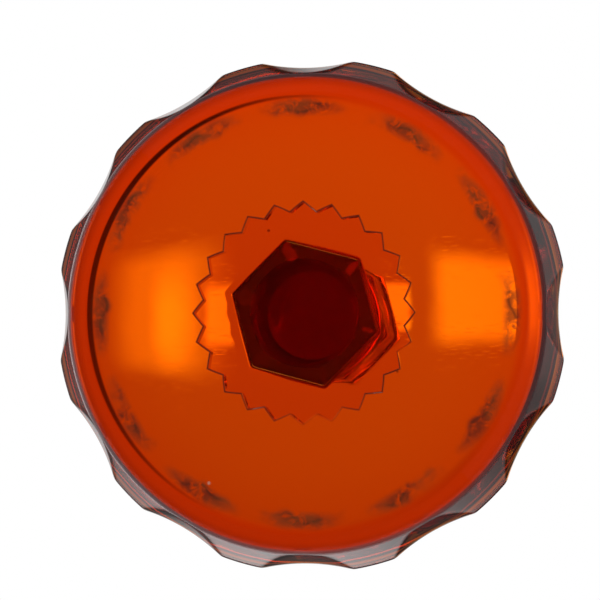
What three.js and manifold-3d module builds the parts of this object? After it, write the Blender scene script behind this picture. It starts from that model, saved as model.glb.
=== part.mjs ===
// A low pressed-glass candlestick: a scalloped dish foot, a toothed collar let into it, a stem on a six-sided
// plinth, a round knop, a wafer and a six-sided socket. Each piece is pressed on its own and joined on.
// Millimetres, +Z up. The origin is the centre of the plane that the foot ring stands on.
import * as THREE from 'three';
import { mergeVertices } from 'three/addons/utils/BufferGeometryUtils.js';
import Module from 'manifold-3d';

const wasm = await Module();
wasm.setup();

// ---- driving dimensions ----
const JOINT_GAP = 0.3; // space left at each joint between two pieces of glass
const STEPS_ROUND = 96; // a multiple of the teeth, the scallops and the six sides
const PLAIN_STEPS = 72; // for the pieces that are round all over

const RING_OUTER = 50.4; // the ground ring under the foot, which it stands on
const RING_INNER = 46.9;
const RING_BEVEL = 0.4;
const RECESS_DEPTH = 0.8; // the underside inside the ring is this much higher
const RECESS_SLOPE = 0.8;
const RIM_RADIUS = 55.8; // ridge tips of the scalloped rim, where it is widest
const RIM_WIDEST_Z = 9.2;
const RIM_TOP_Z = 11.0;
const RIM_ROUND = 2;
const DISH_Z = 6.8; // the dish is flat in the middle and rises gently to where the rim starts
const DISH_FLAT_RADIUS = 30;
const DISH_EDGE_RADIUS = 49;
const DISH_EDGE_Z = 7.6;
const RIM_INNER_RADIUS = 51;
const RIM_INNER_ROUND = 0.5;
const SCALLOP_COUNT = 12;
const SCALLOP_RADIUS = 45; // each scallop is a straight round cut of this radius
const SCALLOP_VALLEY = 50.7; // its deepest point at the foot ring, from the axis
const SCALLOP_LEAN = THREE.MathUtils.degToRad(18.6); // the cuts lean outwards as they rise

const TOOTH_COUNT = 24;
const TOOTH_TIP = 23.7;
const TOOTH_ROOT = 21.6;
const COLLAR_BOTTOM_Z = RECESS_DEPTH; // flush with the underside of the foot
const COLLAR_EDGE_Z = DISH_Z;
const COLLAR_TOP_Z = 7.4;

const HEX_SIDES = 6;
const HEX_RADIUS = 16; // plinth under the stem, from the axis to a corner
const HEX_TURN = Math.PI / 12; // one corner of every six-sided piece points this way
const TENON_Z = 4.0; // the plinth reaches down to here inside the collar
const TENON_FACE_RADIUS = 11.2; // its flat round face, with a chamfer around it
const TENON_CHAMFER = 1.2;
const PLINTH_TOP_Z = 8.2;
const SHAFT_ROOT_RADIUS = 11.4; // the sloping shoulder of the plinth ends here
const SHAFT_ROOT_Z = 13.8;
const WAIST_RADIUS = 9.2;
const WAIST_Z = 23;
const STEM_TOP_RADIUS = 10.8;
const STEM_TOP_Z = 36;

const KNOP_RADIUS = 13.4;
const KNOP_TOP_Z = 43.5;
const WAFER_RADIUS = 12.2;
const WAFER_EDGE = 1;
const WAFER_TOP_Z = 46.3;

const SOCKET_FOOT_RADIUS = 11.6; // radii of the six-sided socket are to its corners
const SOCKET_CALYX_RADIUS = 13.2;
const SOCKET_BELLY_RADIUS = 15;
const SOCKET_LIP_RADIUS = 16.6;
const SOCKET_TOP_Z = 80;
const LIP_HEIGHT = 3;
const LIP_ROUND = 1;
const BORE_RADIUS = 11.3; // takes a 22 mm candle
const BORE_DEPTH = 25;

// ---- helpers ----
// A profile of [radius, z] points turned about +Z. It starts and ends on the axis, or closes on itself.
function turned(profile, steps = STEPS_ROUND) {
  const geometry = new THREE.LatheGeometry(profile.map(([r, z]) => new THREE.Vector2(r, z)), steps);
  geometry.rotateX(Math.PI / 2);
  return geometry;
}

// Moves each vertex along its own radius: rule(angle, radius, z) gives the new radius.
function reshaped(geometry, rule) {
  const position = geometry.getAttribute('position');
  for (let i = 0; i < position.count; i++) {
    const x = position.getX(i);
    const y = position.getY(i);
    const radius = Math.hypot(x, y);
    if (radius < 1e-6) continue;
    const angle = Math.atan2(y, x);
    const next = rule(angle, radius, position.getZ(i));
    position.setXY(i, next * Math.cos(angle), next * Math.sin(angle));
  }
  return geometry;
}

// How far the edge of a regular hexagon lies from its centre in a direction, for a corner at distance 1.
function hexReach(angle) {
  const step = (2 * Math.PI) / HEX_SIDES;
  const fromMiddle = THREE.MathUtils.euclideanModulo(angle - HEX_TURN, step) - step / 2;
  return Math.cos(step / 2) / Math.cos(fromMiddle);
}

// The toothed outline: straight flanks between tips and roots, with a tip at each multiple of the pitch.
function toothReach(angle) {
  const half = Math.PI / TOOTH_COUNT;
  const fromTip = Math.abs(THREE.MathUtils.euclideanModulo(angle + half, 2 * half) - half) / half;
  return 1 / ((1 - fromTip) / TOOTH_TIP + fromTip / TOOTH_ROOT);
}

// A quarter of an ellipse from [r0, z0] to [r1, z1], which leaves the first point along z.
function quarter(r0, z0, r1, z1, count = 4) {
  return Array.from({ length: count + 1 }, (_, i) => {
    const turn = (i / count) * (Math.PI / 2);
    return [r1 + (r0 - r1) * Math.cos(turn), z0 + (z1 - z0) * Math.sin(turn)];
  });
}

// A three.js geometry as a solid that can be cut.
function solid(geometry) {
  const bare = geometry.clone();
  bare.deleteAttribute('normal');
  bare.deleteAttribute('uv');
  const merged = mergeVertices(bare, 1e-4);
  const mesh = new wasm.Mesh({
    numProp: 3,
    vertProperties: new Float32Array(merged.getAttribute('position').array),
    triVerts: new Uint32Array(merged.getIndex().array),
  });
  return new wasm.Manifold(mesh);
}

// The same the other way round: a cut solid as a three.js geometry.
function geometryOf(body) {
  const mesh = body.getMesh();
  const geometry = new THREE.BufferGeometry();
  geometry.setAttribute('position', new THREE.BufferAttribute(new Float32Array(mesh.vertProperties), 3));
  geometry.setIndex(new THREE.BufferAttribute(new Uint32Array(mesh.triVerts), 1));
  geometry.computeVertexNormals();
  return geometry;
}

const group = new THREE.Group();
function add(name, geometry, color) {
  const glass = new THREE.MeshStandardMaterial({ color, roughness: 0.05, metalness: 0 });
  const mesh = new THREE.Mesh(geometry, glass);
  mesh.name = name;
  group.add(mesh);
}

// ---- pieces ----
// The foot: a shallow dish with a ground ring under it, a raised rim and a toothed hole for the collar.
// Twelve leaning round cuts scallop the outside of the rim, and run out just above the ring.
function foot() {
  const holeEdge = TOOTH_TIP + JOINT_GAP;
  const dish = Array.from({ length: 5 }, (_, i) => {
    const t = 1 - i / 4;
    const radius = THREE.MathUtils.lerp(DISH_FLAT_RADIUS, DISH_EDGE_RADIUS, t);
    return [radius, THREE.MathUtils.lerp(DISH_Z, DISH_EDGE_Z, t * t)];
  });
  const outline = [
    [holeEdge, RECESS_DEPTH],
    [RING_INNER - RECESS_SLOPE, RECESS_DEPTH],
    [RING_INNER, 0],
    [RING_OUTER, 0],
    [RING_OUTER + RING_BEVEL, RING_BEVEL],
    ...quarter(RIM_RADIUS, RIM_WIDEST_Z, RIM_RADIUS - RIM_ROUND, RIM_TOP_Z),
    [RIM_INNER_RADIUS + RIM_INNER_ROUND, RIM_TOP_Z],
    [RIM_INNER_RADIUS, RIM_TOP_Z - RIM_INNER_ROUND],
    ...dish,
    [holeEdge, DISH_Z],
    [holeEdge, RECESS_DEPTH],
  ];
  const isHole = (radius) => radius < holeEdge + 0.01;
  const plate = reshaped(turned(outline), (angle, radius) =>
    isHole(radius) ? toothReach(angle) + JOINT_GAP : radius);
  let body = solid(plate);
  for (let i = 0; i < SCALLOP_COUNT; i++) {
    const cutter = new THREE.CylinderGeometry(SCALLOP_RADIUS, SCALLOP_RADIUS, 6 * RIM_TOP_Z, STEPS_ROUND);
    cutter.rotateX(Math.PI / 2);
    cutter.rotateY(SCALLOP_LEAN);
    cutter.translate(SCALLOP_VALLEY + SCALLOP_RADIUS / Math.cos(SCALLOP_LEAN), 0, 0);
    cutter.rotateZ((i * 2 * Math.PI) / SCALLOP_COUNT);
    body = body.subtract(solid(cutter));
  }
  return geometryOf(body);
}

// The collar: a toothed disc that fills the hole in the foot, with a six-sided seat for the stem in its top.
function collar() {
  const seat = HEX_RADIUS + JOINT_GAP;
  const outline = [
    [0, COLLAR_BOTTOM_Z],
    [TOOTH_TIP, COLLAR_BOTTOM_Z],
    [TOOTH_TIP, COLLAR_EDGE_Z],
    [seat + 1.2, COLLAR_EDGE_Z],
    [seat + 0.5, COLLAR_TOP_Z],
    [seat, COLLAR_TOP_Z],
    [seat, TENON_Z - JOINT_GAP],
    [0, TENON_Z - JOINT_GAP],
  ];
  return reshaped(turned(outline), (angle, radius) => {
    if (radius > TOOTH_TIP - 0.01) return toothReach(angle);
    if (radius > seat - 0.01) return seat * hexReach(angle) + (radius - seat);
    return radius;
  });
}

// The stem: a low six-sided plinth that sits in the collar, with sloping shoulders, and a round shaft drawn in
// to a waist. The shaft widens from the waist with the square of the distance along it.
function stem() {
  const waistTo = (radius, z) => Array.from({ length: 6 }, (_, i) => {
    const t = i / 5;
    return [THREE.MathUtils.lerp(WAIST_RADIUS, radius, t * t), THREE.MathUtils.lerp(WAIST_Z, z, t)];
  });
  const outline = [
    [0, TENON_Z],
    [TENON_FACE_RADIUS, TENON_Z],
    [HEX_RADIUS, TENON_Z + TENON_CHAMFER],
    [HEX_RADIUS, PLINTH_TOP_Z],
    ...waistTo(SHAFT_ROOT_RADIUS, SHAFT_ROOT_Z).reverse(),
    ...waistTo(STEM_TOP_RADIUS, STEM_TOP_Z).slice(1),
    [0, STEM_TOP_Z],
  ];
  return reshaped(turned(outline), (angle, radius) =>
    radius > HEX_RADIUS - 0.01 ? radius * hexReach(angle) : radius);
}

function knop() {
  const bottom = STEM_TOP_Z + JOINT_GAP;
  const middle = (bottom + KNOP_TOP_Z) / 2;
  const outline = [
    [0, bottom],
    ...quarter(KNOP_RADIUS, middle, STEM_TOP_RADIUS, bottom).reverse(),
    ...quarter(KNOP_RADIUS, middle, STEM_TOP_RADIUS, KNOP_TOP_Z).slice(1),
    [0, KNOP_TOP_Z],
  ];
  return turned(outline, PLAIN_STEPS);
}

// The wafer: the small disc of glass that joins the socket to what is under it.
function wafer() {
  const bottom = KNOP_TOP_Z + JOINT_GAP;
  const outline = [
    [0, bottom],
    [WAFER_RADIUS - WAFER_EDGE, bottom],
    [WAFER_RADIUS, (bottom + WAFER_TOP_Z) / 2],
    [WAFER_RADIUS - WAFER_EDGE, WAFER_TOP_Z],
    [0, WAFER_TOP_Z],
  ];
  return turned(outline, PLAIN_STEPS);
}

// The socket: six flat panels outside, rising from a narrow foot over a belly to a thick lip; a round bore.
function socket() {
  const bottom = WAFER_TOP_Z + JOINT_GAP;
  const boreFloor = SOCKET_TOP_Z - BORE_DEPTH;
  const lipBottom = SOCKET_TOP_Z - LIP_HEIGHT;
  const boreEdge = BORE_RADIUS + LIP_ROUND;
  const outline = [
    [0, bottom],
    [SOCKET_FOOT_RADIUS, bottom],
    [SOCKET_CALYX_RADIUS, bottom + 3],
    [SOCKET_BELLY_RADIUS, bottom + 9],
    [SOCKET_BELLY_RADIUS, lipBottom - 6],
    [SOCKET_LIP_RADIUS - 0.6, lipBottom - 1.5],
    [SOCKET_LIP_RADIUS, lipBottom],
    [SOCKET_LIP_RADIUS, SOCKET_TOP_Z - LIP_ROUND],
    [SOCKET_LIP_RADIUS - LIP_ROUND, SOCKET_TOP_Z],
    [boreEdge, SOCKET_TOP_Z],
    [BORE_RADIUS, SOCKET_TOP_Z - LIP_ROUND],
    [BORE_RADIUS, boreFloor],
    [0, boreFloor],
  ];
  const isOutside = (radius, z) => radius > boreEdge + 0.01 || z < boreFloor - 0.01;
  return reshaped(turned(outline), (angle, radius, z) =>
    isOutside(radius, z) ? radius * hexReach(angle) : radius);
}

add('foot', foot(), 0xc8500a);
add('collar', collar(), 0xb03c08);
add('stem', stem(), 0x7a1408);
add('knop', knop(), 0x9c2808);
add('wafer', wafer(), 0xb84408);
add('socket', socket(), 0xc04a0a);

export default group;
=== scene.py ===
# %% [markdown]
# # A low candlestick of pressed amber glass
# The frame holds six plain solids: a scalloped foot, a toothed collar let into it, a stem, a knop, a wafer and a
# socket. This lesson gives each its fine surface and its glass, and then lights the glass the way a studio does.

# %% Load the frame
import math

import bpy
import numpy as np
from mathutils import Matrix, Vector


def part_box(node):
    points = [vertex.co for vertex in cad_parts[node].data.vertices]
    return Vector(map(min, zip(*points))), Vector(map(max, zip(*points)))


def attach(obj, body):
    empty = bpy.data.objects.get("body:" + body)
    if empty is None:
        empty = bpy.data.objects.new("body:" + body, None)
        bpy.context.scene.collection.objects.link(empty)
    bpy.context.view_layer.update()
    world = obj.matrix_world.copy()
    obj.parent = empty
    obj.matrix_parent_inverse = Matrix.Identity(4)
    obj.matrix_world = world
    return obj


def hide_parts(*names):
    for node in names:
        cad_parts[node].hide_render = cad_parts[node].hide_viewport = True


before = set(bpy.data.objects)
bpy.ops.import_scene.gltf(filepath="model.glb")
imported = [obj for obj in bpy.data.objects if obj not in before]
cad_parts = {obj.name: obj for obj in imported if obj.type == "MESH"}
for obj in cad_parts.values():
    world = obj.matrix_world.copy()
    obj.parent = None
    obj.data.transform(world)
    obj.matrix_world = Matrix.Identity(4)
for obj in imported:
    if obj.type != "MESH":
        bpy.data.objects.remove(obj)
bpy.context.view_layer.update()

scene = bpy.context.scene
print("pieces in the frame:", ", ".join(sorted(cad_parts)))

# %% [markdown]
# Heights and radii come from the frame, so every fine surface lands where the plain solid stands. The few sizes that
# a box can't tell, such as how deep a tooth is, are named in the cells that use them. All are in millimetres.

# %% Read the sizes of the pieces
MM = 0.001


def extent(node):
    """Lowest height, highest height and largest half-width of a plain solid, in millimetres."""
    low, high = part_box(node)
    return low[2] / MM, high[2] / MM, max(high[0], high[1], -low[0], -low[1]) / MM


FOOT_BOTTOM, RIM_TOP, FOOT_REACH = extent("foot")
COLLAR_BOTTOM, COLLAR_TOP, TOOTH_TIP = extent("collar")
TENON, STEM_TOP, _ = extent("stem")
KNOP_BOTTOM, KNOP_TOP, KNOP_RADIUS = extent("knop")
WAFER_BOTTOM, WAFER_TOP, WAFER_RADIUS = extent("wafer")
SOCKET_BOTTOM, SOCKET_TOP, _ = extent("socket")
print(f"foot {2 * FOOT_REACH:.1f} mm across, candlestick {SOCKET_TOP:.1f} mm tall")

# %% [markdown]
# Every piece is pressed or turned round one axis, so one builder serves all of them. It takes one ring for each step
# along the profile: a radius and a height, each a number or one value for each direction round the axis. A lathe
# modifier could turn a plain profile, but it can't turn teeth or scallops, whose radius changes with direction.
# First come the faces. Points are numbered ring by ring, so a face is a little sum of ring and direction.

# %% Faces between rings
COLUMNS = 960  # directions round the axis: a multiple of the 24 teeth, the 12 scallops and the 6 sides
ANGLE = np.arange(COLUMNS) * 2 * math.pi / COLUMNS


def grid_quads(rows, loop):
    """For each ring and direction, the four points (ring, direction), (ring, next), (next ring, next) and
    (next ring, direction). The last ring joins the first when loop is true."""
    row = np.arange(rows if loop else rows - 1)[:, None]
    here = np.arange(COLUMNS)[None, :]
    there = (here + 1) % COLUMNS
    above = (row + 1) % rows
    corners = (row * COLUMNS + here, row * COLUMNS + there,
               above * COLUMNS + there, above * COLUMNS + here)
    return np.stack([c.ravel() for c in np.broadcast_arrays(*corners)], axis=-1)


def end_fans(rows):
    """Triangles from the two poles, which are numbered after the grid, to the first and to the last ring."""
    here = np.arange(COLUMNS)
    there = (here + 1) % COLUMNS
    top = (rows - 1) * COLUMNS
    low, high = rows * COLUMNS, rows * COLUMNS + 1
    first = np.stack([np.full(COLUMNS, low), there, here], axis=-1)
    last = np.stack([np.full(COLUMNS, high), top + here, top + there], axis=-1)
    return np.vstack([first, last])


print(f"a step along a profile adds {len(grid_quads(2, False))} quads, and two poles {len(end_fans(2))} triangles")

# %% [markdown]
# A closed surface has an inside, and Blender refracts light by which side a face turns outwards. The volume that the
# faces enclose is positive only when they face outwards, so its sign tells whether to turn them round. That is surer
# than drawing every profile in one direction by eye.

# %% The builder of turned surfaces
SHARP_EDGE = math.radians(38)


def signed_volume(points, triangles):
    """Six times the volume: the sum of a . (b x c) over the triangles, positive when they face outwards."""
    a, b, c = (points[triangles[:, k]] for k in range(3))
    return float(np.einsum("ij,ij->", a, np.cross(b, c)))


def turned(name, rings, loop=False):
    """point(ring, direction) = (radius cos angle, radius sin angle, height). The first and the last ring close on
    the axis with a fan of triangles, or on each other when loop is true."""
    radius = np.array([np.broadcast_to(r, COLUMNS) for r, _ in rings], dtype=float) * MM
    height = np.array([np.broadcast_to(z, COLUMNS) for _, z in rings], dtype=float) * MM
    points = np.stack([radius * np.cos(ANGLE), radius * np.sin(ANGLE), height], axis=-1).reshape(-1, 3)
    quads, fans = grid_quads(len(rings), loop), np.empty((0, 3), dtype=int)
    if not loop:
        points = np.vstack([points, [0, 0, height[0, 0]], [0, 0, height[-1, 0]]])
        fans = end_fans(len(rings))
    triangles = np.vstack([quads[:, [0, 1, 2]], quads[:, [0, 2, 3]], fans])
    if signed_volume(points, triangles) < 0:
        quads, fans = quads[:, ::-1], fans[:, ::-1]
    mesh = bpy.data.meshes.new(name)
    mesh.from_pydata(points.tolist(), [], quads.tolist() + fans.tolist())
    mesh.validate()
    mesh.shade_smooth()
    mesh.set_sharp_from_angle(angle=SHARP_EDGE)
    piece = bpy.data.objects.new(name, mesh)
    scene.collection.objects.link(piece)
    print(f"{name}: {len(mesh.polygons)} faces, {radius.max() / MM:.1f} mm radius, "
          f"{height.max() / MM:.1f} mm high")
    return piece

# %% [markdown]
# A profile is drawn with three strokes: a straight line, a quarter of an ellipse and an S-curve. Each stroke adds its
# rings after the last one, so a profile reads like a list of what the maker's tool did. Bezier curves could draw the
# same lines, but these three need only their two ends.

# %% Strokes for profiles
def smooth(t):
    """The S-curve 3t^2 - 2t^3, which starts and ends level."""
    t = np.clip(t, 0, 1)
    return t * t * (3 - 2 * t)


def line(start, end, count=1):
    """count rings on a straight line from (radius, height) start to end; the start itself is left out."""
    (r0, z0), (r1, z1) = start, end
    return [(r0 + (r1 - r0) * t, z0 + (z1 - z0) * t) for t in np.arange(1, count + 1) / count]


def quarter(start, end, count, leaves="up"):
    """A quarter of an ellipse from start to end that leaves its start along the height, or along the radius."""
    (r0, z0), (r1, z1) = start, end
    turns = np.arange(1, count + 1) / count * math.pi / 2
    if leaves == "up":
        return [(r1 + (r0 - r1) * math.cos(t), z0 + (z1 - z0) * math.sin(t)) for t in turns]
    return [(r0 + (r1 - r0) * math.sin(t), z1 + (z0 - z1) * math.cos(t)) for t in turns]


def s_curve(start, end, count):
    """From start to end with the radius in equal steps and the height on the S-curve."""
    (r0, z0), (r1, z1) = start, end
    return [(r0 + (r1 - r0) * t, z0 + (z1 - z0) * smooth(t)) for t in np.arange(1, count + 1) / count]


turn = quarter((1, 0), (0, 1), 2)
print("a quarter turn of radius 1 in two rings:", [(round(float(r), 2), round(float(z), 2)) for r, z in turn])

# %% [markdown]
# Three outlines aren't round: the teeth of the collar, the six sides of the plinth and the socket, and the scalloped
# rim. Each is a reach, the distance from the axis in each direction. Pressed glass has no knife edges, so the
# hexagon's corners and the ridges between scallops are rounded with smooth stand-ins for the greatest and the least
# of a set. Cutting with booleans would also work, but it leaves edges that no bevel rounds evenly.

# %% Teeth and six sides
TEETH = 24
TOOTH_DEPTH = 2.1
SIDES = 6
HEX_TURN = math.pi / 12  # the direction of one corner
CORNER_SHARPNESS = 70


def tooth_reach(direction=ANGLE, grow=0.0):
    """Straight flanks between a tip at each multiple of the pitch and a root midway between two tips."""
    half = math.pi / TEETH
    from_tip = np.abs((direction + half) % (2 * half) - half) / half
    return 1 / ((1 - from_tip) / (TOOTH_TIP + grow) + from_tip / (TOOTH_TIP - TOOTH_DEPTH + grow))


def hex_reach():
    """The reach of a hexagon with corners at distance 1: its inner radius over the greatest cosine between the
    direction and a side's middle. The greatest is taken as a high power mean, which rounds the corners."""
    middles = HEX_TURN + math.pi / SIDES + np.arange(SIDES)[:, None] * 2 * math.pi / SIDES
    towards = np.maximum(np.cos(ANGLE - middles), 0)
    greatest = (towards ** CORNER_SHARPNESS).sum(axis=0) ** (1 / CORNER_SHARPNESS)
    return math.cos(math.pi / SIDES) / greatest


print(f"teeth {tooth_reach().min():.1f} to {tooth_reach().max():.1f} mm, "
      f"six sides {hex_reach().min():.2f} to {hex_reach().max():.2f} of a corner")

# %% [markdown]
# The scallops of the rim are what is left where twelve round bars pass up the outside. The bars lean outwards, so the
# valleys grow shallower towards the top. Their reach has an exact answer, so no bar needs to be made and cut away.

# %% Scallops
SCALLOPS = 12
SCALLOP_RADIUS = 45
SCALLOP_VALLEY = 50.7  # the deepest point of a scallop, at the height where the foot stands
SCALLOP_LEAN = math.radians(18.6)


def least(a, b, soft):
    """The smaller of a and b, rounded where they cross over about the length soft."""
    return -soft * np.logaddexp(-a / soft, -b / soft)


def scallop_reach(height):
    """Where a ray from the axis meets the near side of the nearest scallop cutter. The cutter is a round bar that
    leans outwards, so at one height its section is an ellipse: a quadratic in the distance along the ray."""
    off = (ANGLE + math.pi / SCALLOPS) % (2 * math.pi / SCALLOPS) - math.pi / SCALLOPS
    wide = SCALLOP_RADIUS / math.cos(SCALLOP_LEAN)
    centre = SCALLOP_VALLEY + wide + height * math.tan(SCALLOP_LEAN)
    a = (np.cos(off) / wide) ** 2 + (np.sin(off) / SCALLOP_RADIUS) ** 2
    b = centre * np.cos(off) / wide ** 2
    c = (centre / wide) ** 2 - 1
    return (b - np.sqrt(np.maximum(b * b - a * c, 0))) / a


print(f"scallop valleys at {scallop_reach(0).min():.1f} mm, and {scallop_reach(RIM_TOP).min():.1f} mm at the top")

# %% [markdown]
# The foot was pressed upside down: a plunger left the level underside and the ring that was later ground flat, and
# the mould gave the scallops. Seen through the glass, each surface shows, so the profile goes all the way round:
# underside, ground ring, bevel, flaring wall, rim, dish and the wall of the toothed hole.

# %% The foot
RING_INNER, RING_OUTER = 47.2, 50.0
RING_BEVEL = 0.72
UNDERSIDE_EDGE = 45.0
FINE_FROM = 38.5  # rings lie close together from here outwards, to carry the edges of the dried film
DIRT_RINGS = (0.2, 0.3)  # how far from the teeth two rings lie that carry the edge of the dirt in the seam
CONE_FOOT, CONE_FOOT_Z = 50.8, 0.4
CONE_RIM, CONE_RIM_Z = 55.8, 9.2
DISH_Z, DISH_RISE = 6.8, 0.8
DISH_FLAT, DISH_EDGE = 30.0, 51.7
RIM_INNER, RIM_INNER_Z = 52.1, 9.9
RIDGE_SOFTNESS = 0.12
SEAM = 0.02  # the open seam between collar and foot
LIP = 0.05  # the rounding of the two edges along the seam


def wall(height):
    """The cone between foot ring and rim, cut by the scallops."""
    cone = CONE_FOOT + (CONE_RIM - CONE_FOOT) * (height - CONE_FOOT_Z) / (CONE_RIM_Z - CONE_FOOT_Z)
    return least(cone, scallop_reach(height), RIDGE_SOFTNESS)


def dish(radius):
    """Level in the middle, then rising with the square of the distance from there."""
    return DISH_Z + DISH_RISE * (np.maximum(radius - DISH_FLAT, 0) / (DISH_EDGE - DISH_FLAT)) ** 2


def foot():
    """Underside outwards from the toothed hole, up the wall, over the rim on two quarter ellipses, down an S-curve
    to the dish and back to the hole."""
    hole = tooth_reach(grow=SEAM)
    rings = [(hole, COLLAR_BOTTOM + LIP)]
    rings += quarter(rings[-1], (hole + LIP, COLLAR_BOTTOM), 2)
    for off in DIRT_RINGS:
        rings += line(rings[-1], (hole + SEAM + off, COLLAR_BOTTOM))
    rings += line(rings[-1], (FINE_FROM, COLLAR_BOTTOM), 4)
    rings += line(rings[-1], (UNDERSIDE_EDGE, COLLAR_BOTTOM), 22)
    rings += s_curve(rings[-1], (RING_INNER, FOOT_BOTTOM), 8)
    rings += line(rings[-1], (RING_OUTER, FOOT_BOTTOM), 4)
    rings += line(rings[-1], (wall(RING_BEVEL), RING_BEVEL), 3)
    rings += [(wall(z), z) for z in np.linspace(RING_BEVEL, CONE_RIM_Z, 13)[1:]]
    edge = wall(CONE_RIM_Z)
    rings += quarter((edge, CONE_RIM_Z), ((edge + RIM_INNER) / 2, RIM_TOP), 8)
    rings += quarter(rings[-1], (RIM_INNER, RIM_INNER_Z), 5, leaves="out")
    rings += s_curve(rings[-1], (DISH_EDGE, dish(DISH_EDGE)), 9)
    rings += [(radius, dish(radius)) for radius in np.linspace(DISH_EDGE, DISH_FLAT, 9)[1:]]
    rings += line(rings[-1], (hole, DISH_Z), 3)
    rings += line(rings[-1], (hole, COLLAR_BOTTOM + LIP), 3)[:-1]
    return turned("foot_body", rings, loop=True)


pieces = {"foot": foot()}

# %% [markdown]
# The collar is a disc of its own with a pinked edge, like a pastry cutter's, flush with the underside of the foot. Its
# top carries a six-sided seat for the stem. The flat between teeth and seat stays level so that light falls straight
# through it, and a small fillet runs round the seat. Modelled as one with the foot, it would show no seam.

# %% The collar
SEAT_FLOOR = TENON - 0.3
SEAT_RADIUS = 16.05
SEAT_FILLET = 0.9
SEAT_EDGE = 0.1
POLE = 2.0  # the radius of the first ring round the axis


def collar():
    """A level underside, a rounded toothed edge, a level top, a quarter ellipse up to the seat's edge, and the
    six-sided seat."""
    tooth = tooth_reach()
    seat = SEAT_RADIUS * hex_reach()
    rings = [(POLE, COLLAR_BOTTOM)]
    rings += line(rings[-1], (tooth - DIRT_RINGS[1], COLLAR_BOTTOM), 5)
    rings += line(rings[-1], (tooth - DIRT_RINGS[0], COLLAR_BOTTOM))
    rings += line(rings[-1], (tooth - LIP, COLLAR_BOTTOM))
    rings += quarter(rings[-1], (tooth, COLLAR_BOTTOM + LIP), 2, leaves="out")
    rings += line(rings[-1], (tooth, DISH_Z), 3)
    rings += line(rings[-1], (seat + SEAT_FILLET, DISH_Z), 4)
    rings += quarter(rings[-1], (seat + SEAT_EDGE, COLLAR_TOP), 6, leaves="out")
    rings += line(rings[-1], (seat, COLLAR_TOP - SEAT_EDGE))
    rings += line(rings[-1], (seat, SEAT_FLOOR), 3)
    rings += line(rings[-1], (POLE, SEAT_FLOOR), 4)
    return turned("collar_body", rings)


pieces["collar"] = collar()

# %% [markdown]
# The stem ends in a tenon with a round face, a six-sided chamfer round it and a low plinth with sloping shoulders.
# Those slopes are steeper than the angle at which glass turns into a mirror, so from below the plinth reads as a dark
# hexagon round a red core. The shaft widens with the square of the distance from its waist, the simplest curve that is
# upright at the waist itself.

# %% The stem
TENON_FACE = 11.2
TENON_ROUND = 0.35
CHAMFER = 1.2
CHAMFER_EDGE = 0.1
PLINTH = 16.0
PLINTH_TOP = 8.2
PLINTH_ROUND = 0.3
SHAFT_ROOT, SHAFT_ROOT_Z = 11.4, 13.8
WAIST, WAIST_Z = 9.2, 23.0
SHAFT_TOP = 10.8


def stem():
    """A round tenon, a chamfer out to the six sides, the plinth, straight shoulders in to the round shaft, and a
    shaft whose radius is the waist's plus a square of the distance from it, below and above."""
    hexed = PLINTH * hex_reach()
    rings = [(POLE, TENON)]
    rings += line(rings[-1], (TENON_FACE - TENON_ROUND, TENON), 2)
    rings += quarter(rings[-1], (TENON_FACE, TENON + TENON_ROUND), 4, leaves="out")
    rings += line(rings[-1], (hexed - CHAMFER_EDGE, TENON + CHAMFER), 4)
    rings += line(rings[-1], (hexed, TENON + CHAMFER + CHAMFER_EDGE))
    rings += line(rings[-1], (hexed, PLINTH_TOP - PLINTH_ROUND), 2)
    rings += quarter(rings[-1], (hexed - PLINTH_ROUND, PLINTH_TOP), 3)
    rings += line(rings[-1], (SHAFT_ROOT, SHAFT_ROOT_Z), 10)
    for t in np.arange(1, 13) / 12:
        rings.append((WAIST + (SHAFT_ROOT - WAIST) * (1 - t) ** 2, SHAFT_ROOT_Z + (WAIST_Z - SHAFT_ROOT_Z) * t))
    for t in np.arange(1, 15) / 14:
        rings.append((WAIST + (SHAFT_TOP - WAIST) * t ** 2, WAIST_Z + (STEM_TOP - WAIST_Z) * t))
    rings += line(rings[-1], (POLE, STEM_TOP), 2)
    return turned("stem_body", rings)


pieces["stem"] = stem()

# %% [markdown]
# The knop and the wafer are dabs of hot glass pressed between the stem and the socket. They are fused to their
# neighbours, so each reaches a hair's breadth into the piece below it, and no film of air shines in the joint. A
# sphere and a cylinder would do from afar, but their edges would catch no light.

# %% The knop and the wafer
FUSED = 0.33  # a fused joint: the solid's gap of 0.3 mm, and 0.03 mm more
WAFER_ROUND = 1.2


def knop():
    """Two quarter ellipses that bulge to the full radius half way up."""
    bottom = KNOP_BOTTOM - FUSED
    middle = (bottom + KNOP_TOP) / 2
    rings = [(POLE, bottom)]
    rings += line(rings[-1], (SHAFT_TOP, bottom), 2)
    rings += quarter(rings[-1], (KNOP_RADIUS, middle), 14, leaves="out")
    rings += quarter(rings[-1], (SHAFT_TOP, KNOP_TOP), 14)
    rings += line(rings[-1], (POLE, KNOP_TOP), 2)
    return turned("knop_body", rings)


def wafer():
    """A disc whose rim is two quarter ellipses."""
    bottom = WAFER_BOTTOM - FUSED
    middle = (bottom + WAFER_TOP) / 2
    inner = WAFER_RADIUS - WAFER_ROUND
    rings = [(POLE, bottom)]
    rings += line(rings[-1], (inner, bottom), 2)
    rings += quarter(rings[-1], (WAFER_RADIUS, middle), 8, leaves="out")
    rings += quarter(rings[-1], (inner, WAFER_TOP), 8)
    rings += line(rings[-1], (POLE, WAFER_TOP), 2)
    return turned("wafer_body", rings)


pieces["knop"] = knop()
pieces["wafer"] = wafer()

# %% [markdown]
# The socket has six flat panels that swell from a narrow foot to a belly and open into a thick lip. The outline is
# drawn with few points and softened by a running mean, as fire-polishing softens the mark of the mould. A subdivision
# surface would soften it too, but would also round the bore.

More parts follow.
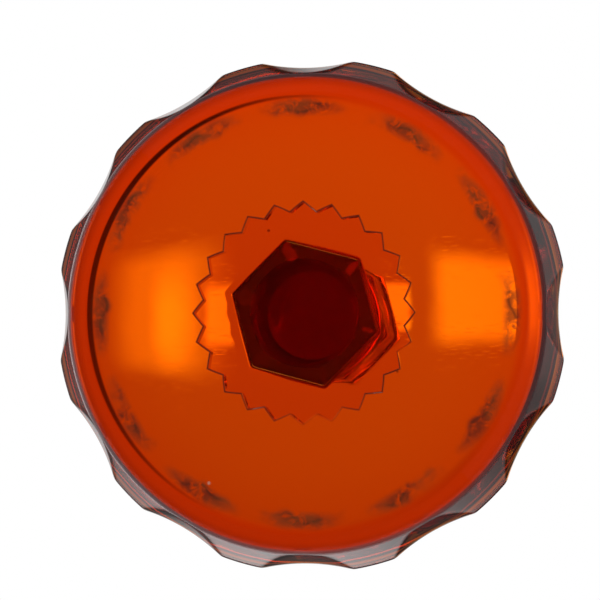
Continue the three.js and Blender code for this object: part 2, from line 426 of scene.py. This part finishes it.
# %% The socket
BORE = 11.3
BORE_FLOOR = 55.0
BORE_ROUND = 0.8
LIP_ROUND = 1.0
SOCKET_OUTLINE = [(0, 11.6), (3, 13.2), (6, 14.3), (9, 15), (17, 14.9), (24, 15), (27.5, 15.8), (29.5, 16.6),
                  (32.4, 16.6)]  # height above the foot of the socket, and the radius to a corner
OUTLINE_RINGS = 64
SOFTENING = 9  # how many of those rings the running mean spans


def socket():
    """The hexagon's reach times the softened outline, a quarter ellipse over the lip, another into the bore, and the
    bore down to its rounded floor."""
    bottom = SOCKET_BOTTOM - FUSED
    rise, reach = np.array(SOCKET_OUTLINE).T
    height = np.linspace(0, rise[-1], OUTLINE_RINGS)
    padded = np.pad(np.interp(height, rise, reach), SOFTENING // 2, mode="edge")
    window = np.hanning(SOFTENING + 2)
    reach = np.convolve(padded, window[1:-1] / window.sum(), "valid")
    hexed = hex_reach()
    rings = [(POLE, bottom)]
    rings += [(r * hexed, bottom + z) for r, z in zip(reach, height)]
    rings += quarter(rings[-1], ((reach[-1] - LIP_ROUND) * hexed, SOCKET_TOP), 6)
    rings += line(rings[-1], (BORE + LIP_ROUND, SOCKET_TOP), 3)
    rings += quarter(rings[-1], (BORE, SOCKET_TOP - LIP_ROUND), 6, leaves="out")
    rings += line(rings[-1], (BORE, BORE_FLOOR + BORE_ROUND), 6)
    rings += quarter(rings[-1], (BORE - BORE_ROUND, BORE_FLOOR), 4)
    rings += line(rings[-1], (POLE, BORE_FLOOR), 2)
    return turned("socket_body", rings)


pieces["socket"] = socket()

# %% [markdown]
# ## Wear and painted shade
# Wear is where hands, tables and wax leave it, so each kind is worked out from the place of a point on the glass and
# kept as an attribute, which the material reads by name. Painted shade on the bevel and on the flaring wall is kept
# the same way. An image could hold it too, but would need a map of the surface. Helpers come first: the place of each
# point round the axis, and what keeps the values.

# %% Helpers for wear and painted shade
UNDERSIDE = 0.35  # how far above the level underside a point still counts as part of it


def polar(piece):
    """Radius, direction and height of every vertex, in millimetres and radians."""
    flat = np.empty(len(piece.data.vertices) * 3, dtype=np.float32)
    piece.data.vertices.foreach_get("co", flat)
    x, y, z = flat.reshape(-1, 3).T / MM
    return np.hypot(x, y), np.arctan2(y, x) % (2 * math.pi), z


def apart(direction, other):
    """The angle between two directions, whichever way round is shorter."""
    return np.abs((direction - other + math.pi) % (2 * math.pi) - math.pi)


def keep_wear_and_shade(rule, *nodes):
    """Works a rule out for every vertex of these pieces, and keeps one number for each under the rule's name."""
    for node in nodes:
        values = rule(*polar(pieces[node]))
        layer = pieces[node].data.attributes.new(rule.__name__, "FLOAT", "POINT")
        layer.data.foreach_set("value", np.ascontiguousarray(values, dtype=np.float32))
        print(f"{node}: {rule.__name__} on {np.mean(values > 0.5):.1%} of the points")


print(f"the foot reaches {polar(pieces['foot'])[0].max():.2f} mm from the axis")

# %% [markdown]
# Dirt has worked into the seam round the teeth, and a cloth has taken some of it off in two places. Without this dark
# line the seam between two pieces of clear glass would hardly show.

# %% Dirt in the seam
SEAM_REACH = 0.3
SEAM_STRENGTH = 1.6
CLEANED = (  # direction, width of the bell curve round it, share of the dirt that is gone
    (math.radians(83), math.radians(20), 0.75),
    (math.radians(20), math.radians(4), 0.95),
)


def seam_dirt(radius, direction, height):
    """Full at the teeth, none SEAM_REACH away, and thinned by a bell curve round each cleaned direction."""
    off_seam = np.abs(radius - tooth_reach(direction)) / SEAM_REACH
    dirt = np.clip(SEAM_STRENGTH * (1 - off_seam), 0, 1) * (height < COLLAR_BOTTOM + UNDERSIDE)
    for towards, width, share in CLEANED:
        dirt = dirt * (1 - share * np.exp(-(apart(direction, towards) / width) ** 2))
    return dirt


keep_wear_and_shade(seam_dirt, "foot", "collar")

# %% [markdown]
# Old polish has dried behind each scallop, inside the ground ring, where a cloth can't reach. It lies in a wandering
# line with a thinner film round it. A noise texture alone would spread it evenly, which no cleaning ever does.

# %% Dried polish
RESIDUE_MIDDLE, RESIDUE_HALF = 44.0, 2.3
RESIDUE_SPREAD = math.radians(13)
LINE_MIDDLE, LINE_HALF = RESIDUE_MIDDLE - 0.4, 0.8
FILM_STRENGTH = 0.8  # the film's greatest share, where the line has 1
FADE = 1.6  # above 1, so that both are full some way in from their ends


def residue(radius, direction, height):
    """The greater of a line and a film. The line is a bell curve across a radius that wanders by two sines of the
    direction, so no two scallops look alike, and the film fades towards the edge of an oval."""
    pitch = 2 * math.pi / SCALLOPS
    off = (direction + pitch / 2) % pitch - pitch / 2
    wander = 0.7 * np.sin(17 * direction + 1) + 0.45 * np.sin(41 * direction)
    reach = np.clip(FADE * (1 - np.abs(off) / RESIDUE_SPREAD), 0, 1)
    wandering = np.exp(-((radius - (LINE_MIDDLE + wander)) / LINE_HALF) ** 2) * reach
    oval = np.hypot((radius - RESIDUE_MIDDLE) / RESIDUE_HALF, off / RESIDUE_SPREAD)
    film = FILM_STRENGTH * np.clip(FADE * (1 - oval), 0, 1)
    return np.maximum(wandering, film) * (height < COLLAR_BOTTOM + UNDERSIDE)


keep_wear_and_shade(residue, "foot", "collar")

# %% [markdown]
# The ground ring is scuffed where it slides. A dark grey layer on its bevel is painted shade, which draws the thin
# dark line round the foot. The wall outside it gets a purple-grey tint, painted shade that darkens it. Round the tenon
# lies a thin brown layer of cement.

# %% Ring, bevel, wall and joint
SCUFF_FADE = 0.6
# The tint on the flaring wall is painted shade that darkens it.
WALL_SHADE_FROM, WALL_SHADE_FADE = 0.3, 0.3  # outside the ring and above the ground, and the height it takes to be full
RIM_CREST = 1.2  # how far above the widest part of the rim the outer wall still counts
EDGE, EDGE_FADE = 0.02, 0.1
CEMENT_FADE = 0.25
CLOSE = 0.05  # how far past an edge a point still counts as on it


def scuffed(radius, direction, height):
    """One on the ground face of the ring and on its bevel, fading over the slope inside it."""
    return np.clip((radius - RING_INNER + SCUFF_FADE) / SCUFF_FADE, 0, 1) * (height < RING_BEVEL + CLOSE)


def painted_wall_shade(radius, direction, height):
    """Painted shade: one on the flaring wall outside the ground ring, where a purple-grey tint darkens it, and nothing
    on the surfaces inside it.
    """
    rising = np.clip((height - WALL_SHADE_FROM) / WALL_SHADE_FADE, 0, 1)
    return (radius > RING_OUTER + WALL_SHADE_FROM) * rising * (height < CONE_RIM_Z + RIM_CREST)


def painted_bevel_shade(radius, direction, height):
    """Painted shade: full on the narrow bevel round the ground ring, waxing and waning three times on the way round.
    """
    patchy = 0.85 + 0.15 * np.sin(3 * direction + 0.8)
    return patchy * np.clip((radius - RING_OUTER + EDGE) / EDGE_FADE, 0, 1) * (height < RING_BEVEL + EDGE)


def cement(radius, direction, height):
    """Cement covers the chamfer round the tenon and leaves its round face clear."""
    return np.clip((radius - TENON_FACE) / CEMENT_FADE, 0, 1) * (height < TENON + CHAMFER + CLOSE)


for rule in (scuffed, painted_wall_shade, painted_bevel_shade):
    keep_wear_and_shade(rule, "foot", "collar")
keep_wear_and_shade(cement, "stem")

# %% [markdown]
# ## Glass
# Coloured glass is clear at its surface and coloured in its depth: light fades with the length of its path, quickly
# for blue, slowly for red. So the surface is a colourless glass shader, and the colour is a volume that absorbs so
# much per metre. A tinted surface would be simpler, but thin and thick places would then look alike. Materials are
# trees of nodes, so first a small class gives the few kinds of node used here short calls.

# %% Helpers for node trees
WHITE = (1, 1, 1, 1)
GLASS_IOR = 1.5


class Tree:
    """A material's or world's node tree with short calls for the nodes used here."""

    def __init__(self, owner):
        owner.use_nodes = True
        self.nodes, self.links = owner.node_tree.nodes, owner.node_tree.links

    def node(self, kind, **settings):
        """A new shader node of one kind, with its settings."""
        node = self.nodes.new("ShaderNode" + kind)
        for key, value in settings.items():
            setattr(node, key, value)
        return node

    def feed(self, socket, value):
        """Links a socket to an output, or sets it to a number or colour."""
        if isinstance(value, bpy.types.NodeSocket):
            self.links.new(value, socket)
        else:
            socket.default_value = value

    def math(self, operation, a, b=0.0, clamp=False):
        """One sum, product or other operation on two values."""
        node = self.node("Math", operation=operation, use_clamp=clamp)
        self.feed(node.inputs[0], a)
        self.feed(node.inputs[1], b)
        return node.outputs[0]

    def ramp(self, value, low, high, to_low=0.0, to_high=1.0, smoothly=False):
        """Carries low to high over to to_low to to_high, in a straight line or an S-curve, and stays level beyond."""
        node = self.node("MapRange", interpolation_type="SMOOTHSTEP" if smoothly else "LINEAR")
        for socket, given in zip(node.inputs, (value, low, high, to_low, to_high)):
            self.feed(socket, given)
        return node.outputs["Result"]

    def noise(self, place, scale, detail=2.0, roughness=0.5, distortion=0.0):
        """A cloudy pattern between 0 and 1 with about scale clouds to the metre."""
        node = self.node("TexNoise")
        self.feed(node.inputs["Vector"], place)
        for key, value in (("Scale", scale), ("Detail", detail),
                           ("Roughness", roughness), ("Distortion", distortion)):
            node.inputs[key].default_value = value
        return node.outputs["Fac"]

    def blend(self, share, first, second):
        """The first colour where share is 0, the second where it is 1."""
        node = self.node("MixRGB")
        for key, value in (("Fac", share), ("Color1", first), ("Color2", second)):
            self.feed(node.inputs[key], value)
        return node.outputs[0]

    def bump(self, height, distance, normal=None):
        """Turns the normal by the slope of height times distance, on top of an earlier bump if there is one."""
        node = self.node("Bump")
        node.inputs["Distance"].default_value = distance
        self.feed(node.inputs["Height"], height)
        if normal is not None:
            self.feed(node.inputs["Normal"], normal)
        return node.outputs["Normal"]

    def attribute(self, name):
        """The wear that was kept under this name."""
        return self.node("Attribute", attribute_name=name).outputs["Fac"]


def new_material(name):
    """A material with only an output in its tree, and that tree."""
    material = bpy.data.materials.new(name)
    tree = Tree(material)
    tree.nodes.remove(tree.nodes["Principled BSDF"])
    return material, tree


def surface(tree, colour, roughness, transmission=0.0):
    """A Principled shader with its uniform values on its own sockets."""
    shader = tree.node("BsdfPrincipled")
    tree.feed(shader.inputs["Base Color"], colour)
    tree.feed(shader.inputs["Roughness"], roughness)
    shader.inputs["Transmission Weight"].default_value = transmission
    shader.inputs["IOR"].default_value = GLASS_IOR
    return shader


def mixed(tree, share, first, second):
    """The first shader where share is 0, the second where it is 1."""
    node = tree.node("MixShader")
    for socket, value in zip(node.inputs, (share, first, second)):
        tree.feed(socket, value)
    return node.outputs[0]


print(f"from inside, the glass is a mirror beyond {math.degrees(math.asin(1 / GLASS_IOR)):.0f} degrees")

# %% [markdown]
# Pressed glass is never quite flat. Two bumps tell so: slow waves from the cooling mould, about a centimetre long and
# a few hundredths of a millimetre high, and faint hair scratches from cloths. The polish is a little less even than
# new, so the roughness wanders between nothing and a twenty-fifth. Bumps do here, because none of it shows in the
# outline.

# %% Waves, scratches and polish
WAVE_SCALE = 85  # waves to the metre
HAIR_SCALE = (300, 2600, 900)  # per metre: coarse along a scratch, fine across it
HAIR_TURN = (0.3, 0.2, 0.7)
HAIR_HEIGHT = 0.000004  # metres
POLISH_SCALE = 300
DULLEST = 0.04  # the roughness of the least polished spots
SCUFF = 0.16  # what scuffs add to it


def uneven(tree, place, waves):
    """The waves are a noise. The scratches are the peaks of another noise that is drawn out one way."""
    slow = tree.noise(place, WAVE_SCALE, detail=1.5)
    drawn_out = tree.node("Mapping")
    drawn_out.inputs["Scale"].default_value = HAIR_SCALE
    drawn_out.inputs["Rotation"].default_value = HAIR_TURN
    tree.feed(drawn_out.inputs["Vector"], place)
    hairs = tree.ramp(tree.noise(drawn_out.outputs[0], 1.0, detail=3), 0.62, 0.8)
    return tree.bump(hairs, HAIR_HEIGHT, tree.bump(slow, waves))


def polish(tree, place, worn_and_shaded):
    """A roughness that follows a noise from 0 to DULLEST. When worn_and_shaded is true, SCUFF times the scuffs is
    added.
    """
    rough = tree.ramp(tree.noise(place, POLISH_SCALE, detail=3), 0.3, 0.8, 0.0, DULLEST)
    if worn_and_shaded:
        rough = tree.math("ADD", rough, tree.math("MULTIPLY", tree.attribute("scuffed"), SCUFF))
    return rough


print(f"about {1000 / WAVE_SCALE:.0f} mm from wave to wave")

# %% [markdown]
# Dirt lies on glass in layers, so each kind covers what is under it, as far as its attribute says and never quite
# wholly. The layer on the bevel is not dirt but painted shade, laid on in the same way. Two layers get a noise as
# well, because a dried film breaks up into blotches. Cement is different: light from behind shines through it, so it
# is partly a translucent shader.

# %% Layers of dirt, painted shade and cement
SEAM_DIRT = {"most": 0.8, "colour": (0.03, 0.006, 0.002, 1), "roughness": 0.7}
# The layer on the bevel is painted shade: a dark grey that draws the thin dark line round the foot.
BEVEL_SHADE = {"most": 0.88, "colour": (0.020, 0.018, 0.024, 1), "roughness": 0.6}
DRIED_FILM = {"most": 0.85, "roughness": 0.8}
FILM_DARK, FILM_PALE = (0.035, 0.010, 0.002, 1), (0.10, 0.055, 0.008, 1)
FILM_BREAKS = {"scale": 90, "detail": 2}  # every scale here counts clouds or dots to the metre
FILM_BLOTCHES = {"scale": 420, "detail": 6, "roughness": 0.68, "distortion": 0.6}
FILM_SHADES = {"scale": 150}
DUST = {"most": 0.7, "colour": (0.85, 0.6, 0.45, 1), "roughness": 0.8}
DUST_SCALE = 150
CEMENT_GLOW, CEMENT_FACE, CEMENT_ROUGHNESS = (0.75, 0.30, 0.14, 1), (0.16, 0.06, 0.03, 1), 0.7
CEMENT_FACE_SHARE = 0.3
CEMENT_BLOTCHES = {"scale": 260, "detail": 3}


def covered(tree, finish, share, most, colour, roughness):
    """A matt layer over a finish. It hides most of the finish where share is 1, and nothing where it is 0."""
    layer = surface(tree, colour, roughness)
    return mixed(tree, tree.math("MULTIPLY", share, most), finish, layer.outputs["BSDF"])


def film_share(tree, place):
    """The residue's attribute times two noises: a coarse one breaks it up, a fine one makes it blotchy."""
    blotches = tree.noise(place, **FILM_BLOTCHES)
    broken = tree.noise(place, **FILM_BREAKS)
    amount = tree.math("MULTIPLY", tree.attribute("residue"), tree.ramp(broken, 0.3, 0.45))
    return tree.math("MULTIPLY", amount, tree.ramp(blotches, 0.34, 0.52), clamp=True)


def speck_share(tree, place):
    """A dot at the middle of one Voronoi cell in five: the cell's random colour chooses, its distance draws."""
    cells = tree.node("TexVoronoi")
    cells.inputs["Scale"].default_value = DUST_SCALE
    tree.feed(cells.inputs["Vector"], place)
    chosen = tree.node("SeparateXYZ")
    tree.feed(chosen.inputs[0], cells.outputs["Color"])
    dot = tree.ramp(cells.outputs["Distance"], 0.07, 0.03)
    return tree.math("MULTIPLY", dot, tree.math("GREATER_THAN", chosen.outputs[0], 0.8))


def dirt_and_bevel_shade(tree, place, finish):
    """In this order: a dark line of dirt in the seam, painted shade on the bevel, the dried film, and pale specks of
    dust.
    """
    finish = covered(tree, finish, tree.attribute("seam_dirt"), **SEAM_DIRT)
    # painted shade on the bevel
    finish = covered(tree, finish, tree.attribute("painted_bevel_shade"), **BEVEL_SHADE)
    shade = tree.blend(tree.ramp(tree.noise(place, **FILM_SHADES), 0.4, 0.62), FILM_DARK, FILM_PALE)
    finish = covered(tree, finish, film_share(tree, place), colour=shade, **DRIED_FILM)
    return covered(tree, finish, speck_share(tree, place), **DUST)


def with_cement(tree, place, finish):
    """A brown film, part translucent and part matt, over the attribute's share times a noise."""
    glow = tree.node("BsdfTranslucent")
    glow.inputs["Color"].default_value = CEMENT_GLOW
    matt = surface(tree, CEMENT_FACE, CEMENT_ROUGHNESS)
    film = mixed(tree, CEMENT_FACE_SHARE, glow.outputs["BSDF"], matt.outputs["BSDF"])
    cover = tree.ramp(tree.noise(place, **CEMENT_BLOTCHES), 0.3, 0.7, 0.62, 0.8)
    return mixed(tree, tree.math("MULTIPLY", tree.attribute("cement"), cover), finish, film)


# the second share is painted shade on the bevel, not dirt
print(f"dirt hides {SEAM_DIRT['most']:.0%} of the glass in the seam and {BEVEL_SHADE['most']:.0%} on the bevel")

# %% [markdown]
# Now the glass itself. A metre of it takes so many times the natural unit of light from red, green and blue. Blender
# wants that as one density and a colour, where a channel loses the density times one minus its share of the colour, so
# the density is a little above the greatest loss. The flaring wall is the one place with a tint on its surface: a
# purple-grey, painted shade that darkens it.

# %% The glass material
# A purple-grey tint: painted shade that darkens the flaring wall.
PAINTED_WALL_SHADE_TINT = (0.16, 0.14, 0.2, 1)
HEADROOM = 1.02  # how far the density lies above the greatest loss


def glass(name, absorbed, waves=0.00003, worn_and_shaded=False, jointed=False):
    """absorbed is what red, green and blue lose in a metre: exp(-absorbed x length) of the light is left. waves is
    the height of the bumps in metres."""
    material, tree = new_material(name)
    output = tree.nodes["Material Output"]
    place = tree.node("TexCoord").outputs["Object"]
    normal = uneven(tree, place, waves)
    clear = surface(tree, WHITE, polish(tree, place, worn_and_shaded), transmission=1)
    tree.feed(clear.inputs["Normal"], normal)
    finish = clear.outputs["BSDF"]
    if worn_and_shaded:
        # the tint on the flaring wall is painted shade
        tint = tree.blend(tree.attribute("painted_wall_shade"), WHITE, PAINTED_WALL_SHADE_TINT)
        tree.feed(clear.inputs["Base Color"], tint)
        finish = dirt_and_bevel_shade(tree, place, finish)
    if jointed:
        finish = with_cement(tree, place, finish)
    tree.feed(output.inputs["Surface"], finish)
    body = tree.node("VolumeAbsorption")
    density = HEADROOM * max(absorbed)
    body.inputs["Density"].default_value = density
    body.inputs["Color"].default_value = (*(1 - share / density for share in absorbed), 1)
    tree.feed(output.inputs["Volume"], body.outputs["Volume"])
    print(f"{name}: a centimetre lets through", [round(math.exp(-share * 0.01), 3) for share in absorbed])
    return material


FOOT_GLASS = (46, 455, 1300)
COLLAR_GLASS = (56, 520, 1300)
STEM_GLASS = (46, 165, 380)
UPPER_GLASS = (13, 85, 320)
SOCKET_GLASS = (16, 130, 600)
finishes = {
    "foot": glass("foot_amber", FOOT_GLASS, worn_and_shaded=True),
    "collar": glass("collar_amber", COLLAR_GLASS, worn_and_shaded=True),
    "stem": glass("stem_ruby", STEM_GLASS, waves=0.00004, jointed=True),
    "knop": glass("knop_amber", UPPER_GLASS),
    "wafer": glass("wafer_amber", UPPER_GLASS),
    "socket": glass("socket_amber", SOCKET_GLASS, waves=0.00005),
}

# %% [markdown]
# Each fine piece now stands for its plain solid: it rides on the one rigid body, hides the solid it replaces and gets
# its finish. The solids themselves stay as they are, because they are the measure for the rest.

# %% Dress the frame
for node, piece in pieces.items():
    piece.data.materials.append(finishes[node])
    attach(piece, "root")
    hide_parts(node)
    print(f"{piece.name} stands for {node}, in {finishes[node].name}")

# %% [markdown]
# ## Camera
# The candlestick is looked at from straight below, through the foot, with the camera swung a few degrees to one side,
# so more of the flaring rim shows past the foot ring on that side. A camera can be turned by angles, but its three
# axes, written as vectors, leave no doubt which way is up.

# %% The camera
DISTANCE = 0.35  # metres
SWING = math.radians(7)  # to the side
TILT = math.radians(-2.5)  # of the upward axis
FRAME_WIDTH = 126.8 * MM  # what the picture spans at the foot ring
SENSOR = 36.0  # the sensor's width in millimetres
AIM_RIGHT, AIM_UP = -0.53 * MM, 2.64 * MM  # how far the aim lies from the axis of the candlestick

right = Vector((math.cos(SWING), 0, math.sin(SWING)))
up = Vector((0, -1, math.tan(TILT)))
up = (up - up.dot(right) * right).normalized()
back = right.cross(up)
camera_data = bpy.data.cameras.new("camera")
camera_data.sensor_width = SENSOR
camera_data.lens = SENSOR * DISTANCE / FRAME_WIDTH
camera = bpy.data.objects.new("camera", camera_data)
scene.collection.objects.link(camera)
aim = right * AIM_RIGHT + up * AIM_UP
axes = Matrix((right, up, back)).transposed().to_4x4()
camera.matrix_world = Matrix.Translation(aim + back * DISTANCE) @ axes
scene.camera = camera
print(f"lens {camera_data.lens:.0f} mm, {DISTANCE:.2f} m away")

# %% [markdown]
# ## Studio
# Glass shows what is round it more than what it is, so the studio is designed as a picture that the glass looks into.
# An even white sky would wash it out. It starts with the floor, a sheet of white acrylic that gives off a little light
# of its own, as a light table does. The camera has to look up through it, so it is clear from below. Mirrors don't
# see its glow, which would put a grey veil on the underside of the foot.

# %% The floor
FLOOR_HALF = 4.0  # metres
FLOOR_DROP = 0.0002  # metres
FLOOR_PAINT = (0.8, 0.79, 0.78, 1)
FLOOR_LIGHT, FLOOR_GLOW = (1, 0.99, 0.98, 1), 0.35


def pale_floor():
    """A square of four corners just under the foot ring. A ray that comes from below passes through it, and a ray
    off a mirror sees no glow."""
    mesh = bpy.data.meshes.new("floor")
    corners = [(-1, -1), (1, -1), (1, 1), (-1, 1)]
    mesh.from_pydata([(x * FLOOR_HALF, y * FLOOR_HALF, -FLOOR_DROP) for x, y in corners], [], [(0, 1, 2, 3)])
    floor = bpy.data.objects.new("floor", mesh)
    scene.collection.objects.link(floor)
    material, tree = new_material("pale_floor")
    paint = surface(tree, FLOOR_PAINT, 0.6)
    paint.inputs["Emission Color"].default_value = FLOOR_LIGHT
    mirrored = tree.node("LightPath").outputs["Is Glossy Ray"]
    tree.feed(paint.inputs["Emission Strength"], tree.ramp(mirrored, 0.0, 1.0, FLOOR_GLOW, 0.0))
    below = tree.node("NewGeometry").outputs["Backfacing"]
    clear = tree.node("BsdfTransparent").outputs["BSDF"]
    seen = mixed(tree, below, paint.outputs["BSDF"], clear)
    tree.feed(tree.nodes["Material Output"].inputs["Surface"], seen)
    mesh.materials.append(material)
    print(f"a floor {2 * FLOOR_HALF:.0f} m square, {FLOOR_DROP / MM:.1f} mm under the foot")


pale_floor()

# %% [markdown]
# The rest of the studio is a sky painted by direction. Lamps and white boards could stand there instead, but a sky
# has no thickness, casts no stray shadows and is quick to change. A bright band stands all round over the floor,
# brighter on one side. Above it the ceiling is dim, so that edges read dark, and an even patch hangs overhead.

# %% The surround
SIDE_LEVEL, CEILING_LEVEL, ZENITH_LEVEL, GROUND_LEVEL = 3.0, 0.06, 0.76, 0.02
HORIZON = (-0.02, 0.25)  # between these heights of direction the band begins
BAND_TOP = (0.58, 0.72)  # and here it ends
OVERHEAD = (0.865, 0.905)  # and here the patch begins
BRIGHT_SIDE, SIDE_FADE, SIDE_SHARES = (-0.8, 0.6, 0), (-0.3, 0.8), (0.15, 0.9)
BRIGHTER_WAY, PATCH_FADE, PATCH_SHARES = (0.35, -0.94, 0), (-0.16, 0.16), (0.72, 1.08)
PANEL_TINT = (0.42, 1, 0.8, 1)  # less red, so that the panels look amber and not scarlet through the glass


class Sky:
    """Adds up levels of light by direction, each a smooth function of the direction's components."""

    def __init__(self):
        self.world = bpy.data.worlds.new("studio")
        scene.world = self.world
        self.tree = Tree(self.world)
        self.direction = self.tree.node("TexCoord").outputs["Generated"]
        self.level = None
        self.panels = 0.0

    def along(self, axis):
        """How far a direction points along an axis: their dot product."""
        dot = self.tree.node("VectorMath", operation="DOT_PRODUCT")
        self.tree.feed(dot.inputs[0], self.direction)
        dot.inputs[1].default_value = axis
        return dot.outputs["Value"]

    def surround(self):
        """The band is a ramp up at the horizon, times one from side to side, times one down to the ceiling. The
        patch is a ramp up overhead, times a slope across it."""
        tree = self.tree
        up = self.along((0, 0, 1))
        band = tree.ramp(up, *HORIZON, GROUND_LEVEL, SIDE_LEVEL, smoothly=True)
        side = tree.ramp(self.along(BRIGHT_SIDE), *SIDE_FADE, *SIDE_SHARES, smoothly=True)
        band = tree.math("MULTIPLY", band, side)
        band = tree.math("MULTIPLY", band, tree.ramp(up, *BAND_TOP, 1.0, CEILING_LEVEL, smoothly=True))
        patch = tree.ramp(up, *OVERHEAD, 0.0, ZENITH_LEVEL, smoothly=True)
        slope = tree.ramp(self.along(BRIGHTER_WAY), *PATCH_FADE, *PATCH_SHARES)
        self.level = tree.math("ADD", band, tree.math("MULTIPLY", patch, slope))

    def rectangle(self, towards, across, centre, half, soft):
        """A rectangle on the plane one unit away along towards. The places on that plane are the direction's
        components over its part along towards: full inside half - soft, nothing past half + soft."""
        towards = Vector(towards).normalized()
        across = (Vector(across) - Vector(across).dot(towards) * towards).normalized()
        upward = towards.cross(across)
        tree = self.tree
        ahead = tree.math("MAXIMUM", self.along(towards), 0.001)
        share = tree.math("GREATER_THAN", self.along(towards), 0.01)
        for axis, middle, reach, edge in zip((across, upward), centre, half, soft):
            off = tree.math("SUBTRACT", tree.math("DIVIDE", self.along(axis), ahead), middle)
            part = tree.ramp(tree.math("ABSOLUTE", off), reach + edge, reach - edge, smoothly=True)
            share = tree.math("MULTIPLY", share, part)
        return share

    def soft_box(self, level, **shape):
        """A rectangle of white light, for the sides."""
        light = self.tree.math("MULTIPLY", self.rectangle(**shape), level)
        self.level = self.tree.math("ADD", self.level, light)

    def panel(self, level, **shape):
        """A rectangle of tinted light, for overhead."""
        light = self.tree.math("MULTIPLY", self.rectangle(**shape), level)
        self.panels = self.tree.math("ADD", self.panels, light)

    def finish(self):
        """The camera itself sees plain white paper behind the object. Every other ray sees the white lights and the
        tinted panels, added together."""
        tree = self.tree
        paper = tree.nodes["Background"]
        paper.inputs["Color"].default_value = WHITE
        lights = tree.node("AddShader")
        for socket, colour, level in zip(lights.inputs, (WHITE, PANEL_TINT), (self.level, self.panels)):
            light = tree.node("Background")
            light.inputs["Color"].default_value = colour
            tree.feed(light.inputs["Strength"], level)
            tree.feed(socket, light.outputs[0])
        seen = tree.node("LightPath").outputs["Is Camera Ray"]
        choice = mixed(tree, seen, lights.outputs[0], paper.outputs[0])
        tree.feed(tree.nodes["World Output"].inputs["Surface"], choice)


sky = Sky()
sky.surround()
print(f"the band is {SIDE_LEVEL / ZENITH_LEVEL:.1f} times as bright as the patch overhead")

# %% [markdown]
# Two soft boxes stand left and right, as they would round any glass on a table. They draw the long highlights that
# tell a smooth wall from a dull one. Each is a rectangle of light in the sky, given by where it lies and how wide it
# looks from the object.

# %% The soft boxes
SIDE_BOX = {"half": (0.4, 0.3), "soft": (0.1, 0.1), "across": (0, 1, 0), "centre": (0, 0)}
SOFT_BOXES = {(-1, 0, 0.4): 0.6, (1, -0.2, 0.9): 0.2}  # the direction of each, and its level

for towards, level in SOFT_BOXES.items():
    sky.soft_box(towards=towards, level=level, **SIDE_BOX)
    print(f"a soft box of level {level} towards {towards}")

# %% [markdown]
# The small panels are what makes amber glow. Each hangs on the line from the camera through the place on the foot
# where its light should stand, so it is given by that place: its middle, its half-size and its soft edge, in
# millimetres on the foot. A direction is what a sky needs, so these are turned into slopes from the camera.

# %% Panels above the foot
PANEL_LEVEL = 2.9
PANELS = [  # middle, half-size, soft edge, share of the panel level
    ((-33.0, -0.5), (13.0, 13.5), (7.0, 3.5), 0.45),
    ((-29.0, 1.5), (4.5, 9.0), (4.0, 7.0), 0.60),
    ((-17.5, 0.5), (3.1, 6.2), (1.2, 1.8), 1.00),
    ((19.1, -1.0), (3.5, 4.7), (0.9, 0.9), 1.00),
    ((45.6, -3.0), (17.0, 9.6), (3.5, 3.0), 0.80),
    ((54.2, -2.5), (2.4, 8.0), (0.6, 1.8), 0.22),
]


def slopes(place):
    """Sideways travel for each unit upwards, from the camera through a place on the foot."""
    eye = camera.matrix_world.translation
    return tuple((along * MM - start) / -eye.z for along, start in zip(place, eye))


scale = MM / -camera.matrix_world.translation.z
for middle, half, soft, share in PANELS:
    sky.panel(towards=(0, 0, 1), across=(1, 0, 0), centre=slopes(middle), level=share * PANEL_LEVEL,
              half=[h * scale for h in half], soft=[e * scale for e in soft])
sky.finish()
print(f"{len(PANELS)} panels, the brightest at level {PANEL_LEVEL}")

# %% [markdown]
# A ray that enters this foot is bent and thrown back many times before it leaves, and turns black when it runs out
# of bounces. So the limits on bounces are well above Blender's own. The plain view transform keeps white paper white
# and reds saturated, where a film-like one would soften both.

# %% Light paths
BOUNCES = {"max_bounces": 32, "transmission_bounces": 32, "glossy_bounces": 16, "transparent_max_bounces": 16}

scene.view_settings.view_transform = "Standard"
for limit, bounces in BOUNCES.items():
    setattr(scene.cycles, limit, bounces)
    print(f"{limit.replace('_', ' ')}: {bounces}")

# %% [markdown]
# Last, the number of faces in the fine pieces is printed.

# %% Faces in the pieces
print(f"{sum(len(piece.data.polygons) for piece in pieces.values())} faces in {len(pieces)} pieces")
